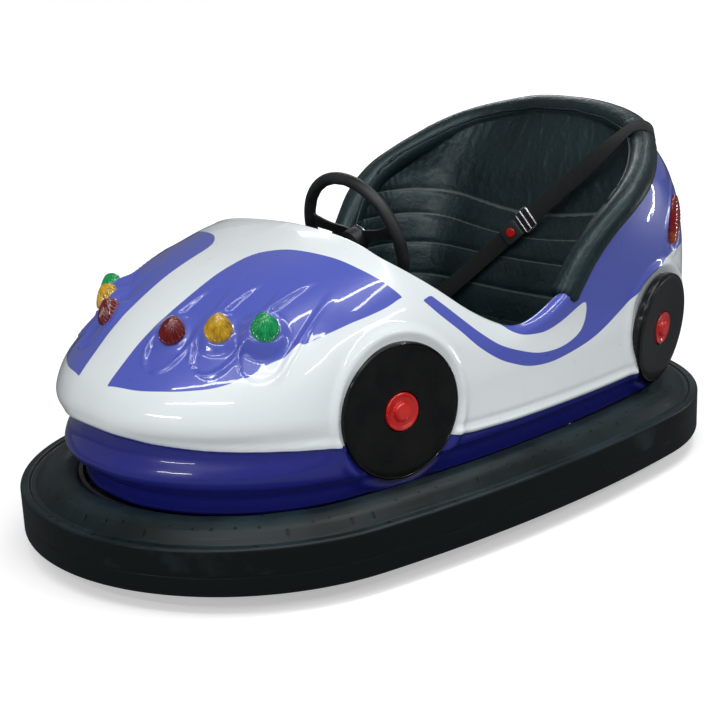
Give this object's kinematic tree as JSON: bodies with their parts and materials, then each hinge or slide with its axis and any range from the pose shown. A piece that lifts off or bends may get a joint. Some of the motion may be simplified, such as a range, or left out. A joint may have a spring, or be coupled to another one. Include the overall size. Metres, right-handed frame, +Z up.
{
  "type": "fairground bumper car",
  "caption": "Two-seat fairground bumper car with a full rubber bumper, open cockpit, padded seat and belt, steering wheel and a steered drive unit under the bonnet.",
  "frame": {"origin": "on the floor under the middle of the rubber bumper", "axes": "+X forward, +Y to the car's left, +Z up"},
  "size_m": [1.9496, 1.1798, 0.917],
  "materials": {
    "bumper_rubber": "moulded black rubber, dusty",
    "frame_steel": "black paint on welded steel",
    "floor_steel": "black painted plate",
    "white_gel_coat": "polished white gel coat",
    "blue_gel_coat": "polished blue gel coat",
    "black_gloss": "polished black gel coat",
    "red_paint": "red gloss",
    "red_lens": "red ribbed lens",
    "amber_lens": "amber ribbed lens",
    "green_lens": "green ribbed lens",
    "black_trim": "black textured trim",
    "black_leatherette": "black leatherette",
    "black_webbing": "black woven webbing",
    "bright_steel": "bright steel",
    "black_plastic": "black moulded plastic",
    "red_plastic": "red moulded button",
    "motor_paint": "grey enamel",
    "road_tyre": "solid rubber tyre",
    "steering_rubber": "black moulded grip"
  },
  "bodies": {
    "root": {"bumper_tyre": "bumper_rubber", "bumper_band": "frame_steel", "floor_pan": "floor_steel", "chassis_frame": "frame_steel", "body_shell": "white_gel_coat", "lower_skirt": "blue_gel_coat", "front_left_wheel_disc": "black_gloss", "front_right_wheel_disc": "black_gloss", "rear_left_wheel_disc": "black_gloss", "rear_right_wheel_disc": "black_gloss", "wheel_disc_hubs": "red_paint", "red_bonnet_lamps": "red_lens", "amber_bonnet_lamps": "amber_lens", "green_bonnet_lamps": "green_lens", "left_tail_lamp": "red_lens", "right_tail_lamp": "red_lens", "dash_panel": "black_trim", "cockpit_side_liners": "black_trim", "seat_base": "black_trim", "seat_back": "black_leatherette", "seat_cushion": "black_leatherette", "padded_roll": "black_leatherette", "belt_upper_webbing": "black_webbing", "belt_lower_webbing": "black_webbing", "belt_slider": "bright_steel", "belt_buckle": "black_plastic", "belt_button": "red_plastic", "drive_bearing": "frame_steel", "rear_left_bracket": "frame_steel", "rear_right_bracket": "frame_steel", "battery_pack": "black_plastic", "steering_column": "frame_steel", "drive_pedal": "bright_steel"},
    "drive_unit": {"drive_fork": "frame_steel", "drive_motor": "motor_paint"},
    "drive_wheel_body": {"drive_wheel": "road_tyre"},
    "rear_left_wheel_body": {"rear_left_wheel": "road_tyre"},
    "rear_right_wheel_body": {"rear_right_wheel": "road_tyre"},
    "steering": {"steering_wheel": "steering_rubber", "steering_shaft": "bright_steel"}
  },
  "joints": [
    {"name": "drive_unit_turn", "type": "hinge", "parent": "root", "child": "drive_unit", "pos_m": [0.45, 0, 0.23], "axis": [0, 0, 1], "continuous": true},
    {"name": "drive_wheel_spin", "type": "hinge", "parent": "drive_unit", "child": "drive_wheel_body", "pos_m": [0.45, 0, 0.1], "axis": [0, 1, 0], "continuous": true},
    {"name": "rear_left_wheel_spin", "type": "hinge", "parent": "root", "child": "rear_left_wheel_body", "pos_m": [-0.48, 0.33, 0.08], "axis": [0, 1, 0], "continuous": true},
    {"name": "rear_right_wheel_spin", "type": "hinge", "parent": "root", "child": "rear_right_wheel_body", "pos_m": [-0.48, -0.33, 0.08], "axis": [0, 1, 0], "continuous": true},
    {"name": "steering_wheel_turn", "type": "hinge", "parent": "root", "child": "steering", "pos_m": [0.056, 0, 0.635], "axis": [-0.9659, 0, 0.2588], "continuous": true}
  ],
  "couplings": [
    {"joint": "steering_wheel_turn", "follows": "drive_unit_turn", "ratio": 1}
  ]
}
